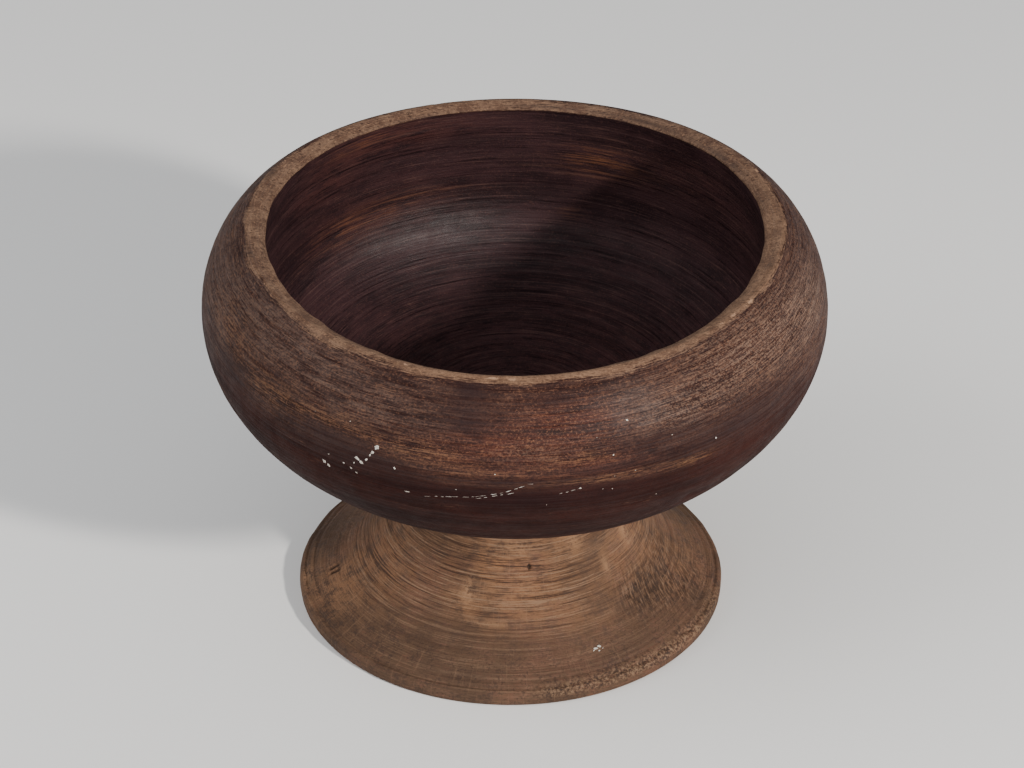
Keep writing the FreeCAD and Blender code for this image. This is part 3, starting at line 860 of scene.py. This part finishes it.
def stain_outside(wood, n):
    """Plum stain worn to brown on the shoulder, with red and ochre streaks and grey dusting that is partly a
    painted sheen; below the belly line the plum is partly painted shade of the underside.
    """
    band, levels = wood.band, wood.levels
    wear, ruddy, ochre, dark = (wood.mask(name) for name in ("wear", "ruddy", "ochre", "dark"))
    plum = wood.mix(levels(n.depth, 0.40, 0.62), OUTSIDE["plum"], OUTSIDE["pale plum"])
    brown = wood.mix(levels(n.depth, 0.38, 0.62), OUTSIDE["brown"], OUTSIDE["pale brown"])
    worn = wood.product(wear, band(0.38, 0.58, (n.thin, 0.6), (n.blotches, 0.4)))
    rubbed = wood.sum((n.thin, 0.8), (n.blotches, 0.2), (wear, 0.05), (dark, -0.10))
    shown = wood.sum((wear, 0.42), (ruddy, 0.20), (ochre, 0.25), (dark, -0.30))
    pits = wood.sum((n.threads, 0.3), (n.hairs, 0.4), (n.dashes, 0.3))
    return wood.coats(wood.mix(worn, plum, brown), OUTSIDE, (
        ("rubbed", levels(rubbed, 0.555, 0.665, 0.0, 0.75)),
        ("red", n.reddened, 0.80),
        ("glow", ruddy, band(0.51, 0.60, (n.thin, 0.75), (n.blotches, 0.25)), 0.70),
        ("ochre", ochre, band(0.47, 0.58, (n.thin, 0.85), (n.cloud, 0.15)), 0.85),
        # Grey dusting, and at one spot on the shoulder a painted sheen.
        ("dust_and_sheen_grey", n.powder, 0.7),
        ("speck", n.specks, 0.72),
        ("gap", levels(n.speckled, 0.49, 0.41, 0.0, 0.65)),
        ("bright grain", levels(shown, 0.0, 0.8), levels(n.speckled, 0.53, 0.61), 0.75),
        ("pit", levels(pits, 0.455, 0.375, 0.0, 0.85)),
        ("dark", dark, 0.7),
    ))


def stain_inside(wood, n):
    """Maroon stain in turned rings, with red and gilt streaks."""
    levels = wood.levels
    rings = wood.sum((n.threads, 0.50), (n.hairs, 0.35), (n.dashes, 0.15))
    base = wood.mix(levels(n.depth, 0.40, 0.60), INSIDE["maroon"], INSIDE["pale maroon"])
    return wood.coats(base, INSIDE, (
        ("ring", levels(rings, 0.53, 0.63, 0.0, 0.65)),
        ("red", n.reddened, 0.60),
        ("gilt", wood.mask("ochre"), wood.band(0.49, 0.57, (rings, 0.85), (n.blotches, 0.15)), 0.75),
        # Painted sheen: grey-purple streaks where the key light's highlight falls on the wall inside.
        ("dust_and_sheen_grey", n.powder, 0.15),
        ("bright grain", levels(n.grains, 0.55, 0.64, 0.0, 0.35)),
        ("speck", n.specks, 0.20),
        ("furrow", levels(rings, 0.465, 0.385, 0.0, 0.85)),
        ("dark", wood.mask("dark"), 0.5),
    ))


def worn_lip(wood, n):
    """Bare wood along the lip, with open pores, pale grains and leftover stain."""
    levels = wood.levels
    return wood.coats(wood.mix(levels(n.cloud, 0.38, 0.62), LIP["brown"], LIP["tan"]), LIP, (
        ("rubbed", levels(n.thin, 0.50, 0.62, 0.0, 0.5)),
        ("pore", levels(n.pores, 0.56, 0.66, 0.0, 0.85)),
        # Painted light: the lip is paler at the front and on the right.
        ("pale", wood.mask("lit"), 0.45),
        ("gap", levels(n.speckled, 0.48, 0.40, 0.0, 0.6)),
        ("bright grain", levels(n.speckled, 0.54, 0.62, 0.0, 0.5)),
        ("stain", wood.mask("stain"), levels(n.cloud, 0.35, 0.55), 0.85),
    ))


def stained_wood():
    """Worn dark stain, bare along the lip and in its fresh chips."""
    wood = Wood("stained_wood", STAIN_TONE)
    n = stained_noises(wood)
    inside = wood.mask("inside")
    base = wood.mix(inside, stain_outside(wood, n), stain_inside(wood, n))
    ragged = ((wood.mask("lip"), 1.0), (wood.levels(n.thin, 0.40, 0.60), 0.6), (n.blotches, 0.6))
    base = wood.mix(wood.band(0.88, 1.28, *ragged), base, worn_lip(wood, n))
    fresh = wood.band(0.72, 0.95, (wood.mask("fresh"), 0.8), (n.grit, 0.8))
    base = wood.coats(base, LIP, [("fresh", fresh, 0.85)])
    roughness = wood.sum((wood.levels(n.cloud, 0.3, 0.7, 0.60, 0.80), 1.0), (inside, -0.16))
    gleam = wood.product(wood.mask("polish"), wood.levels(n.threads, 0.35, 0.65, 0.55, 1.45))
    heights = [
        (n.lines, 0.30 * MM), (n.hairs, 0.16 * MM), (n.dashes, 0.12 * MM),
        (wood.sum((n.pores, 1.0), (wood.mask("ends"), 0.2)), 0.12 * MM),
        (wood.product(wood.mask("speckle"), n.grit), 0.22 * MM), (n.grains, 0.16 * MM),
    ]
    return wood.finish(base, roughness, heights, gleam)


def bare_noises(wood):
    """The noises of the bare wood."""
    tilt = math.atan2(TORN_ALONG[1], TORN_ALONG[0])
    turned = wood.node("ShaderNodeVectorRotate", {0: wood.place, "Angle": -tilt}, rotation_type="Z_AXIS")
    n = SimpleNamespace(
        bands=wood.streaks(0.9, 9 * MM),
        lines=wood.streaks(2.4, 1.3 * MM, 4.0, 0.6),
        threads=wood.streaks(1.3, 0.85 * MM, 4.0, 0.62),
        hairs=wood.streaks(7.0, 0.55 * MM, 4.0, 0.65),
        dashes=wood.streaks(26.0, 0.45 * MM, 4.0, 0.7),
        scores=wood.streaks(80.0, 22 * MM, 2.0, 0.5),
        mottle=wood.noise((34, 34, 34), 4),
        cloud=wood.noise((150, 150, 150), 6, 0.7),
        grit=wood.noise((800, 800, 800), 3, 0.7),
        pores=wood.grain(3.5 * MM, 0.6 * MM),
        ticks=wood.noise((230, 950, 230), 3, 0.6, turned.outputs[0]),
    )
    n.thin = wood.sum((n.threads, 0.55), (n.lines, 0.20), (n.hairs, 0.25))
    return n


def bare_coats(wood, n):
    """Weathered wood, warmer in places and painted lighter on its left side, with dirt in its grooves, and
    then the marks laid over it; the holes are painted dark as shade.
    """
    band, levels, mask = wood.band, wood.levels, wood.mask
    warm_and_lit, grooved, outward, torn, pitted = map(mask, ("warm_and_lit", "grooved", "outward", "torn", "pitted"))
    depth = band(0.40, 0.60, (n.bands, 0.35), (n.mottle, 0.30), (n.cloud, 0.35))
    rosy = wood.sum((n.dashes, 0.6), (n.mottle, 0.4))
    furrowed = wood.sum((grooved, 0.65), (n.mottle, 0.5))
    ridged = wood.sum((grooved, 0.6), (n.mottle, 0.35))
    flecked = wood.sum((n.pores, 0.45), (n.grit, 0.35), (n.dashes, 0.2))
    scored = wood.sum((warm_and_lit, 0.6), (outward, 0.3))
    return wood.coats(wood.mix(depth, BARE["brown"], BARE["tan"]), BARE, (
        ("grey", outward, levels(n.cloud, 0.38, 0.58), 0.55),
        # Warmer, paler wood, and painted light on the foot's left side.
        ("warm_and_lit", warm_and_lit, band(0.38, 0.56, (n.hairs, 0.5), (n.cloud, 0.5)), 0.8),
        ("rosy", levels(rosy, 0.50, 0.60, 0.0, 0.5)),
        ("furrow", levels(n.thin, 0.49, 0.42), furrowed),
        ("ridge", levels(n.thin, 0.52, 0.59), ridged),
        ("fleck", levels(flecked, 0.52, 0.585, 0.0, 0.30)),
        ("dirt", mask("dirty"), band(0.42, 0.56, (n.cloud, 0.5), (n.dashes, 0.5)), 0.75),
        ("torn ridge", torn, levels(n.ticks, 0.46, 0.34), 0.6),
        ("splinter", torn, levels(n.ticks, 0.50, 0.55), 0.8),
        ("scratch", levels(n.scores, 0.60, 0.70), scored, 0.6),
        ("pale", mask("pale"), band(0.42, 0.54, (n.cloud, 0.5), (n.grit, 0.5)), 0.75),
        ("grit", outward, band(0.50, 0.42, (n.grit, 0.6), (n.cloud, 0.4)), 0.62),
        ("crumb", pitted, levels(n.grit, 0.50, 0.60), 0.7),
        ("pit", pitted, levels(n.grit, 0.47, 0.38), 0.85),
        # Painted shade: the slots and the worm hole are painted dark inside.
        ("hole", levels(mask("holes"), 0.25, 0.8, 0.0, 0.85)),
    ))


def bare_wood():
    """Weathered unfinished wood with dirt in its lathe grooves and torn end grain."""
    wood = Wood("bare_wood", BARE_TONE)
    n = bare_noises(wood)
    base = bare_coats(wood, n)
    roughness = wood.levels(n.cloud, 0.3, 0.7, 0.74, 0.92)
    gleam = wood.levels(n.cloud, 0.3, 0.7, 0.30, 0.18)
    grooves = wood.product(n.threads, wood.sum((wood.mask("grooved"), 0.7), (n.mottle, 0.5)))
    heights = [
        (grooves, 0.45 * MM), (n.lines, 0.15 * MM), (n.hairs, 0.20 * MM), (n.dashes, 0.16 * MM),
        (n.pores, -0.20 * MM), (n.grit, 0.16 * MM), (wood.product(wood.mask("torn"), n.ticks), -1.0 * MM),
    ]
    return wood.finish(base, roughness, heights, gleam)


def joint_wood(name, tone):
    """Bare cut wood whose fibres run upright."""
    wood = Wood(name, tone)
    fibres = wood.noise((900, 900, 45), 4, 0.6)
    bands = wood.noise((160, 160, 14), 3)
    cloud = wood.noise((120, 120, 120), 4)
    base = wood.mix(wood.levels(bands, 0.35, 0.65), CUT["brown"], CUT["tan"])
    fibre = ("fibre", wood.levels(fibres, 0.55, 0.70, 0.0, 0.6))
    grime = ("grime", wood.levels(cloud, 0.5, 0.7, 0.0, 0.5))
    base = wood.coats(base, CUT, (fibre, grime))
    roughness = wood.levels(cloud, 0.3, 0.7, 0.66, 0.82)
    gleam = wood.levels(cloud, 0.3, 0.7, 0.40, 0.25)
    return wood.finish(base, roughness, [(fibres, 0.25 * MM), (bands, 0.2 * MM)], gleam)


def dried_paint():
    """Off-white house paint, dried matt and a little dirty."""
    spatter = Wood("paint_spatter")
    cloud = spatter.noise((500, 500, 500), 4, 0.6)
    base = spatter.mix(spatter.levels(cloud, 0.35, 0.65), DIRTY_PAINT, CLEAN_PAINT)
    roughness = spatter.levels(cloud, 0.3, 0.7, 0.55, 0.75)
    gleam = spatter.levels(cloud, 0.3, 0.7, 0.45, 0.35)
    return spatter.finish(base, roughness, [(cloud, 0.15 * MM)], gleam)


def pale_floor():
    """Matt pale studio floor with a faint unevenness."""
    floor = bpy.data.materials.new("pale_floor")
    floor.use_nodes = True
    tree = floor.node_tree
    shader = tree.nodes["Principled BSDF"]
    noise = tree.nodes.new("ShaderNodeTexNoise")
    noise.inputs["Scale"].default_value = 6.0
    shade = tree.nodes.new("ShaderNodeMapRange")
    shade.inputs["To Min"].default_value, shade.inputs["To Max"].default_value = FLOOR_SHADES
    tree.links.new(noise.outputs["Fac"], shade.inputs["Value"])
    tree.links.new(shade.outputs[0], shader.inputs["Base Color"])
    shader.inputs["Roughness"].default_value = 0.9
    return floor


# ---------------------------------------------------------------- paint flecks

FLECK_SIDES = 14
FLECK_RISE = 0.14 * MM
SCRATCH_RISE = 0.06 * MM
DOT_RISE = 0.08 * MM
BOWL_FLECK_SCALE = 0.85
FOOT_FLECK_SCALE = 0.75
BELLY_MM_PER_DEGREE = 2.5

# The ranges below are in mm, and those of the angles in degrees.
SCRATCH_HALF_LENGTHS = (0.5, 1.5)
SCRATCH_HALF_WIDTHS = (0.05, 0.11)
THICKER_ANGLES = (266, 270)
THICKER_BY = 1.6
DOTS = 12
DOT_ANGLES = (232, 300)
DOT_HEIGHTS = (142, 178)
DOT_SIZES = (0.12, 0.26)


def fleck(surface, rng, middle, direction, half_length, half_width, rise):
    """Vertices and faces of one closed fleck of paint that lies on a surface."""
    spot, normal = surface.find_nearest(middle)[:2]
    ahead = (direction - normal * direction.dot(normal)).normalized()
    beside = normal.cross(ahead)
    sides = FLECK_SIDES
    wobble = rng.uniform(-1, 1, sides)
    wobble = 0.85 + 0.36 * wobble + 0.18 * np.roll(wobble, 1)
    vertices = []
    for share, lift in ((0.55, rise), (1.0, rise * 0.35), (0.95, -0.3 * MM)):
        for k in range(sides):
            turn = TAU * k / sides
            reach = share * wobble[k]
            place = spot + ahead * (math.cos(turn) * reach * half_length)
            place += beside * (math.sin(turn) * reach * half_width)
            foot, up = surface.find_nearest(place)[:2]
            vertices.append(foot + up * lift * (1 + 0.2 * rng.uniform(-1, 1)))
    vertices += [spot + normal * rise, spot - normal * 0.3 * MM]
    top, bottom = len(vertices) - 2, len(vertices) - 1
    faces = []
    for k in range(sides):
        following = (k + 1) % sides
        faces.append((top, k, following))
        for ring in (0, sides):
            faces.append((ring + k, ring + sides + k, ring + sides + following, ring + following))
        faces.append((bottom, 2 * sides + following, 2 * sides + k))
    return vertices, faces


def on_bowl(degrees, height):
    """Point near the outside of the bowl at an angle and a height in mm."""
    up = height * MM - BELLY_HEIGHT
    if up > 0:
        radius = SHOULDER_CENTRE[0] + math.sqrt(SHOULDER_RADIUS**2 - up**2)
    else:
        radius = BELLY_RADIUS * math.sqrt(1 - (up / LOWER_DEPTH) ** 2)
    angle = math.radians(degrees)
    return Vector((radius * math.cos(angle), radius * math.sin(angle), height * MM))


def on_foot(degrees, radius):
    """Point near the flare of the foot at an angle and a distance from the axis in mm."""
    height = FLARE_CENTRE_HEIGHT - math.sqrt(FLARE_RADIUS**2 - (FLARE_CENTRE_RADIUS - radius * MM) ** 2)
    angle = math.radians(degrees)
    return Vector((radius * MM * math.cos(angle), radius * MM * math.sin(angle), height))


# Flecks: angle, place in mm, half length, half width and slope in degrees.
# The place is a height on the bowl, and a distance from the axis on the foot.
BOWL_FLECKS = [
    (236.1, 153.2, 1.5, 0.9, -60), (236.9, 151.6, 1.1, 0.7, -50), (242.9, 160.8, 1.5, 0.9, -20),
    (243.7, 159.6, 1.3, 0.8, 10), (244.6, 161.6, 1.1, 0.5, 40), (242.3, 158.4, 0.8, 0.4, 60),
    (245.3, 164.2, 0.8, 0.6, 50), (245.8, 165.8, 1.0, 0.8, 40), (246.5, 168.4, 1.4, 1.2, 20),
    (237.2, 158.0, 0.5, 0.4, 0), (241.6, 155.0, 0.9, 0.45, -30), (240.2, 156.4, 0.6, 0.3, -30),
    (242.6, 153.4, 0.6, 0.3, -20), (249.8, 161.0, 0.7, 0.6, 0), (251.8, 150.0, 1.4, 0.3, 0),
    (280.8, 155.6, 0.6, 0.55, 0), (289.5, 181.5, 0.6, 0.4, 0), (286.5, 169.0, 0.5, 0.4, 0),
    (306.0, 163.0, 0.5, 0.45, 0),
]
FOOT_FLECKS = [
    (297.2, 82.6, 1.3, 0.8, 0), (298.4, 82.2, 1.2, 1.0, 0), (296.2, 83.2, 0.7, 0.5, 0),
    (298.0, 84.0, 0.8, 0.4, 0), (299.3, 83.4, 0.5, 0.4, 0),
]
# Fine scratches of paint: the angles and the heights in mm that each one runs through.
SCRATCHES = [
    ((255.3, 259.5, 263.0, 267.5, 272.6), (149.4, 151.0, 152.0, 154.7, 159.4)),
    ((264.0, 270.5), (151.6, 155.6)),
    ((277.6, 280.8), (153.8, 155.6)),
]


def fleck_mesh(name, parts):
    vertices, faces = [], []
    for part_vertices, part_faces in parts:
        start = len(vertices)
        vertices += part_vertices
        faces += [tuple(start + index for index in face) for face in part_faces]
    mesh = bpy.data.meshes.new(name)
    mesh.from_pydata([tuple(v) for v in vertices], [], faces)
    mesh.shade_smooth()
    mesh.validate()
    piece = bpy.data.objects.new(name, mesh)
    bpy.context.scene.collection.objects.link(piece)
    return piece


def surface_of(piece):
    mesh = piece.data
    return BVHTree.FromPolygons([v.co for v in mesh.vertices], [p.vertices for p in mesh.polygons])


def level_direction(degrees, slope):
    """Direction round the axis at an angle, tipped up by a slope in degrees."""
    angle, tip = math.radians(degrees), math.radians(slope)
    return Vector((-math.sin(angle) * math.cos(tip), math.cos(angle) * math.cos(tip), math.sin(tip)))


def large_flecks(surface, rng, spots, place_on, scale):
    parts = []
    for degrees, place, half_length, half_width, slope in spots:
        sizes = (half_length * scale * MM, half_width * scale * MM)
        heading = level_direction(degrees, slope)
        parts.append(fleck(surface, rng, place_on(degrees, place), heading, *sizes, FLECK_RISE))
    return parts


def make_bowl_flecks(bowl):
    rng = np.random.default_rng(31)
    surface = surface_of(bowl)
    parts = large_flecks(surface, rng, BOWL_FLECKS, on_bowl, BOWL_FLECK_SCALE)
    for angles, heights in SCRATCHES:
        degrees = angles[0]
        while degrees < angles[-1]:
            height, following = np.interp((degrees, degrees + 1), angles, heights)
            slope = math.degrees(math.atan((following - height) / BELLY_MM_PER_DEGREE))
            half_length = rng.uniform(*SCRATCH_HALF_LENGTHS)
            thicker = THICKER_ANGLES[0] < degrees < THICKER_ANGLES[1]
            half_width = rng.uniform(*SCRATCH_HALF_WIDTHS) * (THICKER_BY if thicker else 1.0)
            middle = on_bowl(degrees, height + rng.uniform(-0.15, 0.15))
            heading = level_direction(degrees, slope)
            sizes = (half_length * MM, half_width * MM)
            parts.append(fleck(surface, rng, middle, heading, *sizes, SCRATCH_RISE))
            degrees += half_length * 0.85 + rng.uniform(0.0, 0.7)
    for _ in range(DOTS):
        degrees = rng.uniform(*DOT_ANGLES)
        height = rng.uniform(*DOT_HEIGHTS)
        size = rng.uniform(*DOT_SIZES) * MM
        middle = on_bowl(degrees, height)
        heading = level_direction(degrees, rng.uniform(-40, 40))
        parts.append(fleck(surface, rng, middle, heading, size * 1.3, size, DOT_RISE))
    return fleck_mesh("bowl_paint", parts)


def make_foot_flecks(foot):
    rng = np.random.default_rng(32)
    parts = large_flecks(surface_of(foot), rng, FOOT_FLECKS, on_foot, FOOT_FLECK_SCALE)
    return fleck_mesh("foot_paint", parts)


# ---------------------------------------------------------------- stage, light and camera

CAMERA_ELEVATION = math.radians(32.0)
CAMERA_DISTANCE = 1.177
CAMERA_LENS = 91.4
CAMERA_AIM = Vector((-1.3 * MM, 0, 112.7 * MM))
FLOOR_SIZE = 8.0
SKY_COLOUR = (0.95, 0.97, 1.0, 1.0)
SKY_STRENGTH = 0.48

# Name, azimuth and elevation in degrees, distance, size, power and tint of each light.
LIGHTS = [
    ("key", -44.5, 25.5, 2.4, 0.15, 78.0, (1.0, 0.95, 0.88)),
    ("fill", -115, 60, 2.2, 1.6, 6.0, (1.0, 1.0, 1.0)),
    ("left_fill", -160, 35, 2.2, 1.6, 28.0, (1.0, 0.98, 0.95)),
]


def look_at(item, target):
    item.rotation_euler = (target - item.location).to_track_quat("-Z", "Y").to_euler()


def add_camera():
    camera = bpy.data.objects.new("camera", bpy.data.cameras.new("camera"))
    bpy.context.scene.collection.objects.link(camera)
    back = Vector((0, -math.cos(CAMERA_ELEVATION), math.sin(CAMERA_ELEVATION)))
    camera.location = Vector((0, 0, BELLY_HEIGHT)) + back * CAMERA_DISTANCE
    camera.data.lens = CAMERA_LENS
    look_at(camera, CAMERA_AIM)
    bpy.context.scene.camera = camera


def add_area_light(name, azimuth, elevation, distance, size, power, tint):
    light = bpy.data.objects.new(name, bpy.data.lights.new(name, "AREA"))
    bpy.context.scene.collection.objects.link(light)
    target = Vector((0, 0, BELLY_HEIGHT))
    azimuth, elevation = math.radians(azimuth), math.radians(elevation)
    direction = Vector((math.cos(azimuth), math.sin(azimuth), 0)) * math.cos(elevation)
    direction.z = math.sin(elevation)
    light.location = target + direction * distance
    light.data.size = size
    light.data.energy = power
    light.data.color = tint
    look_at(light, target)


def add_stage():
    bpy.ops.mesh.primitive_plane_add(size=FLOOR_SIZE)
    floor = bpy.context.object
    floor.name = "floor"
    floor.data.materials.append(pale_floor())
    world = bpy.data.worlds.new("studio")
    world.use_nodes = True
    sky = world.node_tree.nodes["Background"].inputs
    sky["Color"].default_value = SKY_COLOUR
    sky["Strength"].default_value = SKY_STRENGTH
    bpy.context.scene.world = world
    for light in LIGHTS:
        add_area_light(*light)


# ---------------------------------------------------------------- assembly


def finish_piece(piece, material, slot_name, *cad_nodes):
    piece.data.materials.append(material)
    if cad_nodes:
        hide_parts(*cad_nodes)
    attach(piece, "root")


add_camera()
bowl_piece = make_bowl()
foot_piece = make_foot()
finish_piece(bowl_piece, stained_wood(), "stained_wood", "bowl")
finish_piece(foot_piece, bare_wood(), "bare_wood", "foot")

dowel_wood = joint_wood("joint_wood", DOWEL_TONE)
wedge_wood = joint_wood("wedge_wood", WEDGE_TONE)
for node_name, cut_wood in (("dowel", dowel_wood), ("fox_wedge", wedge_wood), ("foot_wedge", wedge_wood)):
    cad_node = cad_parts[node_name]
    cad_node.data.materials.clear()
    cad_node.data.materials.append(cut_wood)

spatter = dried_paint()
finish_piece(make_bowl_flecks(bowl_piece), spatter, "paint_spatter")
finish_piece(make_foot_flecks(foot_piece), spatter, "paint_spatter")

add_stage()
